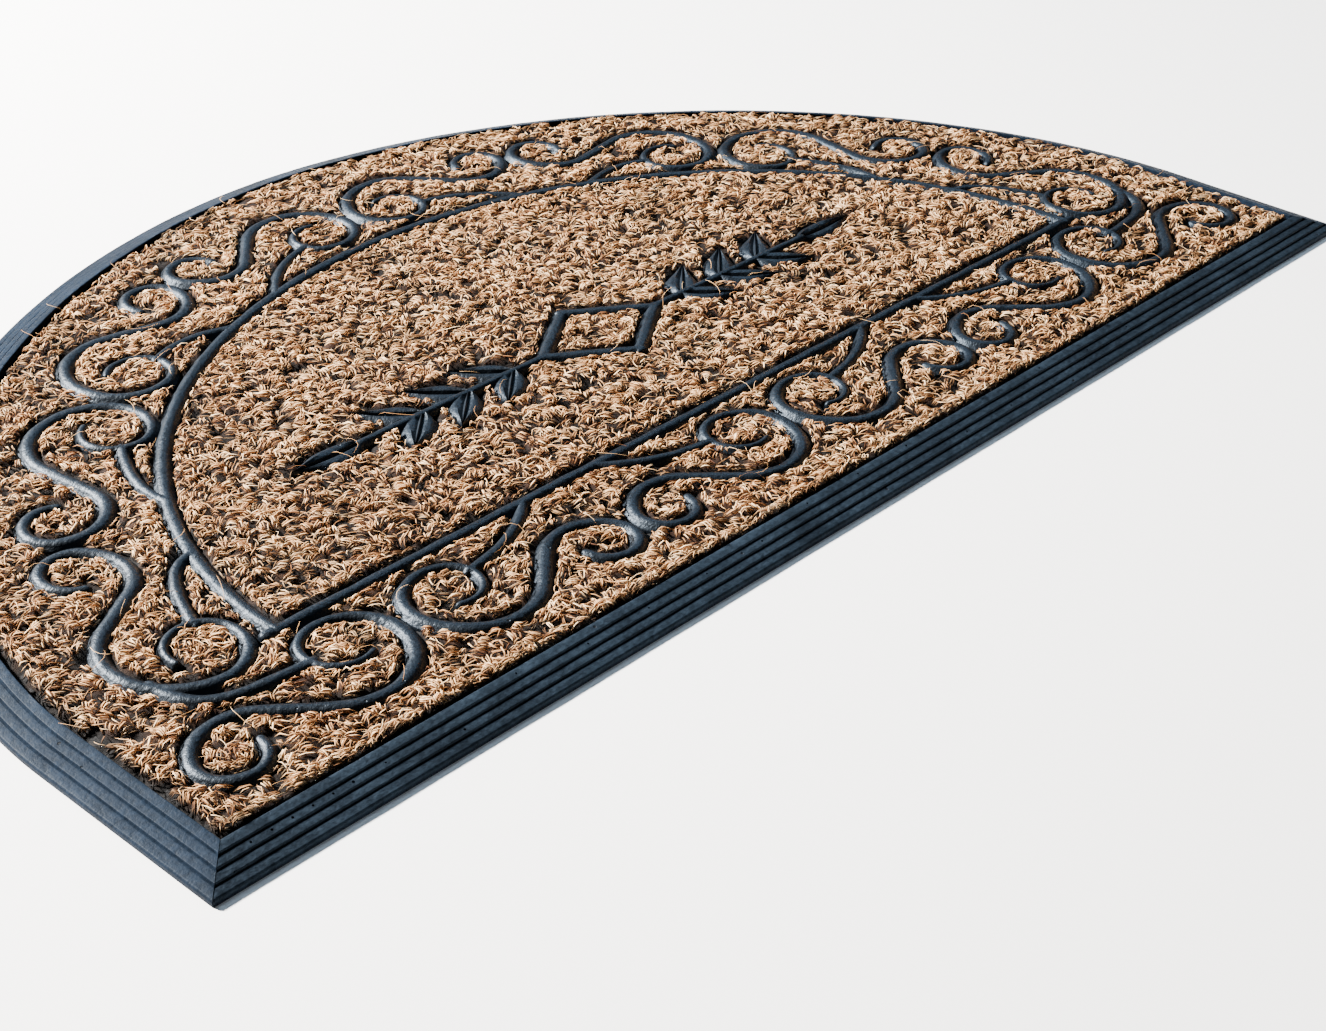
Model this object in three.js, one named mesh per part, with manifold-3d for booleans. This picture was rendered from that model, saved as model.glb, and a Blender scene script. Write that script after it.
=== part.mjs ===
// Half round doormat: a coir pile field in a stepped rubber border, with raised rubber scrollwork.
// Millimetres, +Z up, X along the straight edge, Y from the straight edge towards the crown of the curve.
// Shapes are laid out with Y = 0 on the straight edge; one group then moves them to the middle of the mat.
import * as THREE from "three";
import { mergeVertices } from "three/addons/utils/BufferGeometryUtils.js";
import Module from "manifold-3d";

const wasm = await Module();
wasm.setup();

// Overall size and the outline: short straight sides that carry a slightly drawn-in half ellipse
const WIDTH = 750;
const DEPTH = 450;
const SIDE_HEIGHT = 100;
const HALF_WIDTH = WIDTH / 2;
const ARCH_HEIGHT = DEPTH - SIDE_HEIGHT;
const ARCH_EXPONENT = 1.9;
const ARCH_STEPS = 30;

// Clearance between neighbouring pieces, and how near two corners are one and the same
const GAP = 0.3;
const MERGE_DISTANCE = 1e-4;

// Stepped border strip: a lip, then treads that slope up inwards with a low riser between them
const LIP_HEIGHT = 2.8;
const LIP_BEVEL = 0.8;
const TREADS = 4;
const TREAD_WIDTH = 4.2;
const TREAD_CLIMB = 1;
const RISER = 0.6;
const RISER_LEAN = 0.3;
const BORDER_WIDTH = LIP_BEVEL + TREADS * TREAD_WIDTH;
const MITRE_PULL = 0.22;

// Backing sheet and coir field
const BACKING_THICKNESS = 2;
const COIR_BOTTOM = BACKING_THICKNESS + GAP;
const COIR_SHOULDER = 5.6;
const COIR_TOP = 10.5;
const COIR_SHOULDER_RUN = 4;

// Raised strokes: a ridge with sloping flanks, seated in a channel in the coir
const STROKE_BOTTOM = 4.6;
const STROKE_TOP = 9.4;
const FLANK_RUN = 2.6;
const LEAST_HALF_WIDTH = 0.5;
const CHANNEL_SIDE = 0.4;
const CHANNEL_FLARE = 2.6;
const CHANNEL_END = 1.2;
const CHANNEL_RISE = 1;

// Inner frame: a bar parallel to the straight edge and a half ellipse that stands on it
const FRAME_Y = 101.5;
const FRAME_HALF_WIDTH = 266;
const FRAME_HEIGHT = 237;
const FRAME_STROKE = 8.6;
const FRAME_STEPS = 40;

// One S-scroll as a chain of tangent arcs, from the eye of its large end to the tip of its small end.
// Its own axes run along the band (x) and towards the frame (y, 0 at the frame's centre line).
// A radius turns left, a negative one right; width is the stroke's width at the end of the row.
const SCROLL_START = { x: 22.6, y: -37.8, heading: -22.5, width: 5.4 };
const SCROLL_ARCS = [
  { radius: 14.1, turn: 184, width: 7 },
  { radius: 20.5, turn: 112, width: 9 },
  { radius: 29, turn: 130, width: 9 },
  { run: 25.5, width: 9 },
  { radius: -22, turn: 108, width: 8.6 },
  { radius: -13, turn: 200, width: 7.2 },
];
const STEP_ANGLE = 30;

// The branch leaves the large end's ring and lands on the frame or on another stroke
const BRANCH_ROOT = { x: 41.5, heading: 6 };
const BRANCH_SHAPE = { rootY: -22.5, lead: 24, landHeading: 48, landLead: 14, width: 7.4 };
const BRANCH_REACH = 92;
const BRANCH_STEPS = 6;

// Lower band: scrolls meet at places one pitch apart, large ends together at even places, small ends at odd
const BAND_PITCH = 113.5;
const BAND_LARGE_Y = -31;
const BAND_SMALL_Y = -44;
const BAND_SCROLLS = [
  { largePlace: 0, smallPlace: 1 },
  { largePlace: 2, smallPlace: 1 },
];

// Where the scroll in the left corner and those along the left half of the curve touch, and where their
// branches land. frameSide is 1 where the frame lies left of the way from the large end to the small end,
// and branch says where a branch's shape differs from the others.
const EDGE_SCROLLS = [
  {
    large: [-227, 72.5], small: [-345, 53], land: [-321, 106], frameSide: -1,
    branch: { rootY: -26, lead: 34, landHeading: 89, landLead: 27, width: 8.6 },
  },
  {
    large: [-304.5, 86.5], small: [-290, 207], land: [-257, 167], frameSide: -1,
    branch: { landHeading: 70 },
  },
  { large: [-207.5, 297], small: [-290, 207], land: [-238.5, 207], frameSide: 1 },
  { large: [-207.5, 297], small: [-113.5, 371], land: [-121, 312.5], frameSide: -1 },
  { large: [0, 371], small: [-113.5, 371], land: [-84, 326.5], frameSide: 1 },
];

// Centre ornament: a lozenge with a leafy sprig on each side
const ORNAMENT_Y = 187;
const LOZENGE_HALF_WIDTH = 38;
const LOZENGE_HALF_HEIGHT = 26;
const LOZENGE_STROKE = 9;
const STEM_END = 150;
const STEM_WIDTH = 7;
const LEAF_LENGTH = 30;
const LEAF_WIDTH = 13;
const LEAF_ANGLE = 42;
const LEAF_PLACES = [58, 86, 114];
const END_LEAF_LENGTH = 38;
const LEAF_ROOT_WIDTH = 4.9;
const LEAF_TIP_WIDTH = 1.2;
const LEAF_BELLY_SHIFT = 0.8;
const LEAF_STEPS = 5;

const radians = (degrees) => (degrees * Math.PI) / 180;

// A point of the curve on the right half, drawn in by an inset; along runs from the side to the crown
function archPoint(along, inset) {
  const angle = (along * Math.PI) / 2;
  const x = Math.cos(angle) ** (2 / ARCH_EXPONENT);
  const y = Math.sin(angle) ** (2 / ARCH_EXPONENT);
  const slope = (value, size) => value ** (ARCH_EXPONENT - 1) / size;
  const normal = new THREE.Vector2(slope(x, HALF_WIDTH), slope(y, ARCH_HEIGHT)).normalize();
  return new THREE.Vector2(HALF_WIDTH * x, SIDE_HEIGHT + ARCH_HEIGHT * y).addScaledVector(normal, -inset);
}

// The right half of the outline, from the corner up the straight side and round to the crown
function rightOutline(inset) {
  const points = [new THREE.Vector2(HALF_WIDTH - inset, inset)];
  for (let i = 0; i <= ARCH_STEPS; i += 1) points.push(archPoint(i / ARCH_STEPS, inset));
  return points;
}

function halfRound(inset) {
  const right = rightOutline(inset);
  const left = right.slice(0, -1).reverse().map((point) => new THREE.Vector2(-point.x, point.y));
  return [...right, ...left];
}

// A closed geometry from points and triangles, turned so that its faces point outwards
function closedGeometry(points, triangles) {
  let volume = 0;
  for (const [a, b, c] of triangles) {
    volume += points[a].dot(new THREE.Vector3().crossVectors(points[b], points[c]));
  }
  const geometry = new THREE.BufferGeometry();
  geometry.setAttribute("position", new THREE.Float32BufferAttribute(points.flatMap((p) => p.toArray()), 3));
  geometry.setIndex(triangles.flatMap(([a, b, c]) => (volume > 0 ? [a, b, c] : [a, c, b])));
  return geometry;
}

// A solid through equal closed sections; capShape gives a section's outline in its own plane
function loft(sections, capShape) {
  const count = sections[0].length;
  const triangles = [];
  for (let i = 0; i + 1 < sections.length; i += 1) {
    for (let j = 0; j < count; j += 1) {
      const a = i * count + j;
      const b = i * count + ((j + 1) % count);
      triangles.push([a, b, b + count], [a, b + count, a + count]);
    }
  }
  const last = (sections.length - 1) * count;
  const clockwise = THREE.ShapeUtils.isClockWise(capShape);
  for (const [a, b, c] of THREE.ShapeUtils.triangulateShape(capShape, [])) {
    const [p, q] = clockwise ? [b, c] : [c, b];
    triangles.push([a, p, q], [last + a, last + q, last + p]);
  }
  return closedGeometry(sections.flat(), triangles);
}

// Profile of the border strip as inset and height, from the foot over the treads to the inner wall
function borderProfile() {
  const profile = [[0, 0], [0, LIP_HEIGHT - LIP_BEVEL], [LIP_BEVEL, LIP_HEIGHT]];
  for (let k = 1; k < TREADS; k += 1) {
    const inset = LIP_BEVEL + k * TREAD_WIDTH;
    const height = LIP_HEIGHT + k * (TREAD_CLIMB + RISER);
    profile.push([inset - RISER_LEAN, height - RISER], [inset, height]);
  }
  const top = LIP_HEIGHT + TREADS * TREAD_CLIMB + (TREADS - 1) * RISER;
  return [...profile, [BORDER_WIDTH, top], [BORDER_WIDTH, 0]];
}

function borderFront() {
  const profile = borderProfile();
  const sections = [-1, 1].map((side) => profile.map(([inset, height]) => (
    new THREE.Vector3(side * (HALF_WIDTH - inset - MITRE_PULL), inset, height))));
  return loft(sections, profile.map(([inset, height]) => new THREE.Vector2(inset, height)));
}

// Half of the curved strip, from the mitre at the corner to the butt joint at the crown
function borderArch(side) {
  const profile = borderProfile();
  const rails = profile.map(([inset]) => {
    const rail = rightOutline(inset);
    rail[0].y += MITRE_PULL;
    rail[rail.length - 1].x = GAP / 2;
    return rail;
  });
  const sections = rails[0].map((_, i) => profile.map(([, height], j) => (
    new THREE.Vector3(side * rails[j][i].x, rails[j][i].y, height))));
  return loft(sections, profile.map(([inset, height]) => new THREE.Vector2(inset, height)));
}

function rubberBacking() {
  const shape = new THREE.Shape(halfRound(BORDER_WIDTH + GAP));
  return new THREE.ExtrudeGeometry(shape, { depth: BACKING_THICKNESS, bevelEnabled: false });
}

// The coir slab before its channels are pressed in: upright at the wall, then sloping to its top
function coirSlab() {
  const wall = BORDER_WIDTH + GAP;
  const rings = [
    { inset: wall, height: COIR_BOTTOM },
    { inset: wall, height: COIR_SHOULDER },
    { inset: wall + COIR_SHOULDER_RUN, height: COIR_TOP },
  ];
  const sections = rings.map(({ inset, height }) => (
    halfRound(inset).map((point) => new THREE.Vector3(point.x, point.y, height))));
  return loft(sections, halfRound(wall));
}

// Points along a chain of tangent arcs and straight runs, each with the stroke's width there
function traceChain(start, rows) {
  const path = [{ point: new THREE.Vector2(start.x, start.y), width: start.width }];
  let heading = radians(start.heading);
  for (const row of rows) {
    const { point: from, width: before } = path[path.length - 1];
    const turn = row.run ? 0 : radians(row.turn) * Math.sign(row.radius);
    const steps = row.run ? 1 : Math.ceil(row.turn / STEP_ANGLE);
    const ahead = new THREE.Vector2(Math.cos(heading), Math.sin(heading));
    const centre = new THREE.Vector2(-ahead.y, ahead.x).multiplyScalar(row.radius ?? 0).add(from);
    for (let i = 1; i <= steps; i += 1) {
      const now = heading + (turn * i) / steps;
      const point = row.run
        ? from.clone().addScaledVector(ahead, row.run)
        : new THREE.Vector2(Math.sin(now), -Math.cos(now)).multiplyScalar(row.radius).add(centre);
      path.push({ point, width: THREE.MathUtils.lerp(before, row.width, i / steps) });
    }
    heading += turn;
  }
  return path;
}

const SCROLL_PATH = traceChain(SCROLL_START, SCROLL_ARCS);

// The outermost edge of a scroll at its large end (side -1) or at its small end (side 1)
function scrollTouch(side) {
  const reach = ({ point, width }) => side * point.x + width / 2;
  const outermost = SCROLL_PATH.reduce((best, next) => (reach(next) > reach(best) ? next : best));
  return new THREE.Vector2(side * reach(outermost), side < 0 ? BAND_LARGE_Y : BAND_SMALL_Y);
}

const LARGE_TOUCH = scrollTouch(-1);
const SMALL_TOUCH = scrollTouch(1);

// The placing of a scroll whose large and small ends touch the two given points
function scrollPlacing(large, small, frameSide) {
  const own = SMALL_TOUCH.clone().sub(LARGE_TOUCH);
  own.y *= frameSide;
  const wanted = small.clone().sub(large);
  const scale = wanted.length() / own.length();
  const angle = wanted.angle() - own.angle();
  return {
    point(p) {
      const local = p.clone().sub(LARGE_TOUCH).multiplyScalar(scale);
      local.y *= frameSide;
      return local.rotateAround(new THREE.Vector2(), angle).add(large);
    },
    direction(degrees) {
      const local = new THREE.Vector2(Math.cos(radians(degrees)), frameSide * Math.sin(radians(degrees)));
      return local.rotateAround(new THREE.Vector2(), angle);
    },
  };
}

// The branch: one cubic curve from the ring to where it lands
function branchPath(placing, land, { rootY, lead, landHeading, landLead, width }) {
  const root = placing.point(new THREE.Vector2(BRANCH_ROOT.x, rootY));
  const out = root.clone().addScaledVector(placing.direction(BRANCH_ROOT.heading), lead);
  const back = land.clone().addScaledVector(placing.direction(landHeading), -landLead);
  return new THREE.CubicBezierCurve(root, out, back, land).getPoints(BRANCH_STEPS)
    .map((point) => ({ point, width }));
}

// Every scroll of the left half as its two touching points, its frame side and its branch's landing and shape
function leftScrolls() {
  const bandPoint = (place) => new THREE.Vector2(
    -place * BAND_PITCH, FRAME_Y + (place % 2 ? BAND_SMALL_Y : BAND_LARGE_Y));
  const band = BAND_SCROLLS.map(({ largePlace, smallPlace }) => {
    const large = bandPoint(largePlace);
    const side = Math.sign(smallPlace - largePlace);
    const land = new THREE.Vector2(large.x - side * BRANCH_REACH, FRAME_Y);
    return { large, small: bandPoint(smallPlace), land, frameSide: -side };
  });
  const edge = EDGE_SCROLLS.map(({ large, small, land, ...others }) => {
    const [from, to, landing] = [large, small, land].map(([x, y]) => new THREE.Vector2(x, y));
    return { large: from, small: to, land: landing, ...others };
  });
  return [...band, ...edge];
}

function mirrored(path) {
  return path.map(({ point, width }) => ({ point: new THREE.Vector2(-point.x, point.y), width }));
}

function scrollPaths() {
  const paths = [];
  for (const { large, small, land, frameSide, branch: shape } of leftScrolls()) {
    const placing = scrollPlacing(large, small, frameSide);
    const scroll = SCROLL_PATH.map(({ point, width }) => ({ point: placing.point(point), width }));
    const branch = branchPath(placing, land, { ...BRANCH_SHAPE, ...shape });
    paths.push(scroll, branch, mirrored(scroll), mirrored(branch));
  }
  return paths;
}

function framePaths() {
  const arch = [];
  for (let i = 0; i <= FRAME_STEPS; i += 1) {
    const angle = (Math.PI * i) / FRAME_STEPS;
    const x = FRAME_HALF_WIDTH * Math.cos(angle);
    const y = FRAME_Y + FRAME_HEIGHT * Math.sin(angle);
    arch.push({ point: new THREE.Vector2(x, y), width: FRAME_STROKE });
  }
  const reach = FRAME_HALF_WIDTH + FRAME_STROKE / 2;
  const bar = [-reach, reach].map((x) => ({ point: new THREE.Vector2(x, FRAME_Y), width: FRAME_STROKE }));
  return [arch, bar];
}

// A leaf: a straight stroke that is widest a little before its middle
function leafPath(x, y, degrees, length) {
  const direction = new THREE.Vector2(Math.cos(radians(degrees)), Math.sin(radians(degrees)));
  const path = [];
  for (let i = 0; i <= LEAF_STEPS; i += 1) {
    const along = i / LEAF_STEPS;
    const belly = LEAF_WIDTH * Math.sin(Math.PI * along ** LEAF_BELLY_SHIFT);
    const width = LEAF_ROOT_WIDTH * (1 - along) + belly + LEAF_TIP_WIDTH;
    path.push({ point: new THREE.Vector2(x, y).addScaledVector(direction, length * along), width });
  }
  return path;
}

function ornamentPaths() {
  const stroke = (width, ...points) => points.map(([x, y]) => ({ point: new THREE.Vector2(x, y), width }));
  const tips = [[1, 0], [0, 1], [-1, 0], [0, -1]].map(([x, y]) => (
    [x * LOZENGE_HALF_WIDTH, ORNAMENT_Y + y * LOZENGE_HALF_HEIGHT]));
  const paths = tips.map((tip, i) => stroke(LOZENGE_STROKE, tip, tips[(i + 1) % tips.length]));
  const sprig = [stroke(STEM_WIDTH, [LOZENGE_HALF_WIDTH, ORNAMENT_Y], [STEM_END, ORNAMENT_Y])];
  for (const place of LEAF_PLACES) {
    sprig.push(leafPath(place, ORNAMENT_Y, LEAF_ANGLE, LEAF_LENGTH));
    sprig.push(leafPath(place, ORNAMENT_Y, -LEAF_ANGLE, LEAF_LENGTH));
  }
  sprig.push(leafPath(STEM_END, ORNAMENT_Y, 0, END_LEAF_LENGTH));
  return [...paths, ...sprig, ...sprig.map(mirrored)];
}

// A bar of trapezoid section along a path; base and top are heights with the side offsets there
function strokeSolid(path, base, top) {
  const sections = path.map(({ point, width }, i) => {
    const before = path[Math.max(i - 1, 0)].point;
    const after = path[Math.min(i + 1, path.length - 1)].point;
    const normal = after.clone().sub(before).normalize().rotateAround(new THREE.Vector2(), Math.PI / 2);
    const corner = (side, { height, offset }) => {
      const reach = Math.max(width / 2 + offset, LEAST_HALF_WIDTH);
      const place = point.clone().addScaledVector(normal, side * reach);
      return new THREE.Vector3(place.x, place.y, height);
    };
    return [corner(1, base), corner(-1, base), corner(-1, top), corner(1, top)];
  });
  const cap = [[1, 0], [-1, 0], [-1, 1], [1, 1]].map(([x, y]) => new THREE.Vector2(x, y));
  return loft(sections, cap);
}

// A path made longer at both ends, so that a channel clears the tips of its stroke
function extended(path, by) {
  const grow = (end, next) => {
    const direction = end.point.clone().sub(next.point).normalize();
    return { point: end.point.clone().addScaledVector(direction, by), width: end.width };
  };
  return [grow(path[0], path[1]), ...path, grow(path[path.length - 1], path[path.length - 2])];
}

function toManifold(source) {
  const geometry = source.clone();
  geometry.deleteAttribute("normal");
  geometry.deleteAttribute("uv");
  const merged = mergeVertices(geometry, MERGE_DISTANCE);
  const mesh = new wasm.Mesh({
    numProp: 3,
    vertProperties: new Float32Array(merged.getAttribute("position").array),
    triVerts: new Uint32Array(merged.getIndex().array),
  });
  return new wasm.Manifold(mesh);
}

function fromManifold(manifold) {
  const { vertProperties, triVerts } = manifold.getMesh();
  const geometry = new THREE.BufferGeometry();
  geometry.setAttribute("position", new THREE.BufferAttribute(new Float32Array(vertProperties), 3));
  geometry.setIndex(new THREE.BufferAttribute(new Uint32Array(triVerts), 1));
  return geometry;
}

const joined = (geometries) => geometries.map(toManifold).reduce((all, next) => all.add(next));

function relief(paths) {
  const base = { height: STROKE_BOTTOM, offset: 0 };
  const top = { height: STROKE_TOP, offset: -FLANK_RUN };
  return joined(paths.map((path) => strokeSolid(path, base, top)));
}

function channels(paths) {
  const base = { height: STROKE_BOTTOM - GAP, offset: CHANNEL_SIDE };
  const top = { height: COIR_TOP + CHANNEL_RISE, offset: CHANNEL_FLARE };
  return joined(paths.map((path) => strokeSolid(extended(path, CHANNEL_END), base, top)));
}

const RUBBER = new THREE.MeshStandardMaterial({ color: 0x2b2f36, roughness: 0.6, metalness: 0 });
const COIR = new THREE.MeshStandardMaterial({ color: 0xb08553, roughness: 0.95, metalness: 0 });

function piece(name, geometry, material) {
  const mesh = new THREE.Mesh(geometry, material);
  mesh.name = name;
  return mesh;
}

const scrollFrame = [...framePaths(), ...scrollPaths()];
const ornament = ornamentPaths();
const coir = toManifold(coirSlab()).subtract(channels([...scrollFrame, ...ornament]));

const mat = new THREE.Group();
mat.position.y = -DEPTH / 2;
mat.add(
  piece("rubber_backing", rubberBacking(), RUBBER),
  piece("border_front", borderFront(), RUBBER),
  piece("border_arch_left", borderArch(-1), RUBBER),
  piece("border_arch_right", borderArch(1), RUBBER),
  piece("coir_field", fromManifold(coir), COIR),
  piece("scroll_frame", fromManifold(relief(scrollFrame)), RUBBER),
  piece("centre_ornament", fromManifold(relief(ornament)), RUBBER),
);

const doormat = new THREE.Group();
doormat.add(mat);

export default doormat;
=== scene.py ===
"""Half round doormat: moulded rubber border and scrollwork, coir pile in bent tufts, daylight from the back left.

Shapes are laid out in millimetres with y = 0 on the straight edge, as in the part's source. Each mesh is turned
into metres in the part's frame when it is made.
"""
import math

import bpy
import numpy as np
from mathutils import Matrix, Vector


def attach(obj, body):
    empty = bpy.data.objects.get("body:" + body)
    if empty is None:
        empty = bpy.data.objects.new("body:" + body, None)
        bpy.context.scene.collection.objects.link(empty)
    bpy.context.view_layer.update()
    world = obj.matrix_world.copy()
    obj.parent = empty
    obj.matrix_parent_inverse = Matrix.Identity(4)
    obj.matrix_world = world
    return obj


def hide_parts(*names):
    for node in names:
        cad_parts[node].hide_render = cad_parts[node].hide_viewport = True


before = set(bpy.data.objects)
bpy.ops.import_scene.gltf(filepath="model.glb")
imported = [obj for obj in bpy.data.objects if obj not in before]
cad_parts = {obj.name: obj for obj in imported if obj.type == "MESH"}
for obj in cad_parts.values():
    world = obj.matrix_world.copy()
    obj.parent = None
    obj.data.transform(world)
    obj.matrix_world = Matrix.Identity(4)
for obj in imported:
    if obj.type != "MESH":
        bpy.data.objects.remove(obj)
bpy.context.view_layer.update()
rng = np.random.default_rng(11)

# Overall size, and the outline: straight sides up to a superellipse
WIDTH = 750.0
DEPTH = 450.0
SIDE_HEIGHT = 100.0
ARCH_EXPONENT = 1.9
SIDE_POINTS = 52
ARCH_POINTS = 261

# Stepped border strip
LIP_HEIGHT = 2.8
LIP_BEVEL = 0.8
TREADS = 4
TREAD_WIDTH = 4.2
TREAD_CLIMB = 1.0
RISER = 0.6
RISER_LEAN = 0.3
BORDER_WIDTH = LIP_BEVEL + TREADS * TREAD_WIDTH
SEAM = 0.2
WALL = BORDER_WIDTH + 0.3
LEDGE = LIP_HEIGHT + TREADS * TREAD_CLIMB + (TREADS - 1) * RISER
FRONT_POINTS = 380

# Details of the strip: the groove at a riser's foot, the nosing as inset and height from its top, and its unevenness
FRONT_GROOVE = {"wide": 0.75, "deep": 0.8}
ARCH_GROOVE = {"wide": 0.45, "deep": 0.5}
GROOVE_LIP = 0.2
NOSING = [(-0.04, -0.2), (0.07, -0.04), (0.28, 0.04)]
PROFILE_POINTS_PER_TREAD = 7
SAG = 0.05
SAG_WAVES = (9.0, 17.0, 41.0, 90.0)

# Pin marks in the front strip: a row on one tread near the corner, the others spread along the strip
PIN_DEPTH = 0.9
PIN_RISE = 0.6
PIN_SIDES = 8
PIN_SHARE = 0.45
PIN_ROW = {"start": -350, "pitch": 9, "count": 6, "tread": 2}
PIN_SPREAD = {"start": -290, "end": 350, "pitch": 34}

# Raised strokes
STROKE_BOTTOM = 4.6
STROKE_TOP = 9.0
FRAME_Y = 101.5
FRAME_HALF_WIDTH = 266.0
FRAME_HEIGHT = 237.0
FRAME_STROKE = 8.6
FRAME_POINTS = 260
CHAIN_STEP = 2.8
STRAIGHT_STEP = 2.4
BRANCH_STEPS = 28
SMOOTH_ANGLE = {"relief": 42, "border": 50}

# One S-scroll as a chain of tangent arcs: radius turns left when positive, width is at the end of the row
SCROLL_START = {"x": 22.6, "y": -37.8, "heading": -22.5, "width": 5.4}
SCROLL_ARCS = [
    {"radius": 14.1, "turn": 184, "width": 7.0},
    {"radius": 20.5, "turn": 112, "width": 9.0},
    {"radius": 29.0, "turn": 130, "width": 9.0},
    {"run": 25.5, "width": 9.0},
    {"radius": -22.0, "turn": 108, "width": 8.6},
    {"radius": -13.0, "turn": 200, "width": 7.2},
]
BRANCH_ROOT = {"x": 41.5, "heading": 6}
BRANCH_SHAPE = {"root_y": -22.5, "lead": 24.0, "land_heading": 48, "land_lead": 14.0, "width": 7.4}
BRANCH_REACH = 92.0
BAND_PITCH = 113.5
BAND_LARGE_Y = -31.0
BAND_SMALL_Y = -44.0
BAND_SCROLLS = [{"large": 0, "small": 1}, {"large": 2, "small": 1}]
EDGE_SCROLLS = [
    {"large": (-227, 72.5), "small": (-345, 53), "land": (-321, 106), "frame_side": -1,
     "branch": {"root_y": -26.0, "lead": 34.0, "land_heading": 89, "land_lead": 27.0, "width": 8.6}},
    {"large": (-304.5, 86.5), "small": (-290, 207), "land": (-257, 167), "frame_side": -1,
     "branch": {"land_heading": 70}},
    {"large": (-207.5, 297), "small": (-290, 207), "land": (-238.5, 207), "frame_side": 1},
    {"large": (-207.5, 297), "small": (-113.5, 371), "land": (-121, 312.5), "frame_side": -1},
    {"large": (0, 371), "small": (-113.5, 371), "land": (-84, 326.5), "frame_side": 1},
]

# Centre ornament
ORNAMENT_Y = 187.0
LOZENGE_HALF_WIDTH = 38.0
LOZENGE_HALF_HEIGHT = 26.0
LOZENGE_STROKE = 9.0
STEM_END = 150.0
STEM_WIDTH = 7.0
LEAF_LENGTH = 30.0
LEAF_WIDTH = 13.0
LEAF_ANGLE = 42
LEAF_PLACES = (58, 86, 114)
LEAF_POINTS = 15
LEAF_FOOT = 0.7
LEAF_SWELL = 0.8
LEAF_TIP = 1.2
END_LEAF_LENGTH = 38.0

# Rasters: cell, margin round the mat, and how far the distances to strokes and to the outline are measured
RASTER = 0.75
RASTER_MARGIN = 12
STROKE_REACH = 15.0
INSET_REACH = 40.0

# Coir pile: its body, coloured dark with a low tone and lift as painted shade under the fibres
BASE_STEP = 2.6
COIR_BOTTOM = 2.3
TUFT_LOW = 6.0
CROWN_LOW = 7.2
CROWN_HIGH = 8.8
CROWN_COVER = 0.4
HUMMOCK_HEIGHT = 2.8
GAP_FLOOR = 3.6
RIM_FLOOR = GAP_FLOOR - 0.8
FRONT_RECESS = 2.0
ARCH_RECESS = 3.2
RECESS_TURN = (4, 18)
SHADED_BODY_TONE = 0.1
SHADED_BODY_LIFT = 0.32

# Coir pile: tufts, and the fibres over them with the heights between which they stay
TUFT_PITCH = 6.4
ROW_SHARE = 0.87
TUFT_SHIFT = 0.19
TUFT_LONG = (3.2, 4.8)
TUFT_WIDE = (2.0, 3.0)
TUFT_CURL = (0.2, 1.2)
TUFT_DRIFT = {"layers": ((26.0, 8, 0.55), (11.0, 9, 0.45)), "turn": 9.0}
TUFT_REACH = 7
EDGE_PITCH = 5.6
EDGE_REACH = 1.7
RIM_KEEP = 2.7
RIM_EASE = 0.65
FIBRE_SIDES = 3
FIBRE_RADIUS = 0.28
WISP_TRIES = 4
WISP_PLACES = [0.0, 0.3, 0.7, 1.0]
WISP_DIP = [-1.5, 0.0, 0.0, -0.9]
WISP_TAPER = [0.6, 1.0, 1.0, 0.3]
WISP_TONE = {"mean": 0.58, "spread": 0.26, "along": 0.12}
WISP_HEIGHTS = (3.4, 12.4)
WISP_OVER_STROKE = 7.6
CURL_LENGTHS = (7.0, 13.0)
CURL_RADII = (0.13, 0.22)
CURL_HEIGHTS = (6.0, 12.4)
STRAY_COUNT = 360
STRAY_LENGTHS = (8, 22)
STRAY_RADII = (0.06, 0.11)
STRAY_HEIGHTS = (4.5, 12.5)
STRAY_OVERHANG = 7
ROOT_DIP = 1.6

# Colours, and how strongly the grain of fibres and of the pile's body shows
COIR_TONES = [
    (0.0, (0.065, 0.022, 0.008)), (0.25, (0.2, 0.084, 0.031)), (0.5, (0.41, 0.21, 0.088)),
    (0.75, (0.64, 0.38, 0.182)), (1.0, (0.88, 0.62, 0.36)),
]
# Near black mixed into the coir low down in the pile: painted shade in the pits
PAINTED_PIT_SHADE = (0.004, 0.002, 0.0013, 1)
FIBRE_GRAIN = {"mottle": 0.2, "centre": 0.25, "strength": 0.35, "distance": 0.0004}
BODY_GRAIN = {"mottle": 1.3, "centre": 0.8, "strength": 0.9, "distance": 0.0012, "squeeze": (0.22, 1.9, 1.0)}
# Black mixed into the coir: rubber dust, and painted shade in the recess at the edge and in the channels beside strokes
RUBBER_DUST_AND_SHADE = (0.0025, 0.0025, 0.003, 1)
RUBBER_GLOSS = (0.55, 0.76, 1.0, 1)
# Colour in the small pits of the rubber: painted shade in the holes
RUBBER_PIT_SHADE = (0.004, 0.004, 0.005, 1)
SKY_BLUE = (0.5, 0.74, 1.0)

MM = 0.001
ANY_TURN = 6.28

# Sections of a stroke and of a leaf as share of the half width and share of the height
STROKE_SECTION = np.array([
    [-1.0, 0.0], [-1.0, 0.24], [-0.93, 0.36], [-0.8, 0.46], [-0.64, 0.7], [-0.44, 0.88], [-0.2, 0.97], [0.0, 1.0],
    [0.2, 0.97], [0.44, 0.88], [0.64, 0.7], [0.8, 0.46], [0.93, 0.36], [1.0, 0.24], [1.0, 0.0],
])
LEAF_SECTION = np.array([
    [-1.0, 0.0], [-1.0, 0.3], [-0.86, 0.52], [-0.66, 0.8], [-0.42, 0.92], [-0.22, 0.74], [-0.12, 0.62], [0.0, 0.98],
    [0.12, 0.62], [0.22, 0.74], [0.42, 0.92], [0.66, 0.8], [0.86, 0.52], [1.0, 0.3], [1.0, 0.0],
])

# How a stroke narrows in its rounded ends, their length as a share of the width, and its unevenness: share and wave
END_CAPS = np.array([0.96, 0.8, 0.55, 0.2])
CAP_REACH = 0.42
WOBBLES = ((0.035, 5.3), (0.025, 2.9))


# Paths: each is its points, its widths and its section

def unit(angle):
    return np.array([math.cos(angle), math.sin(angle)])


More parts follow.
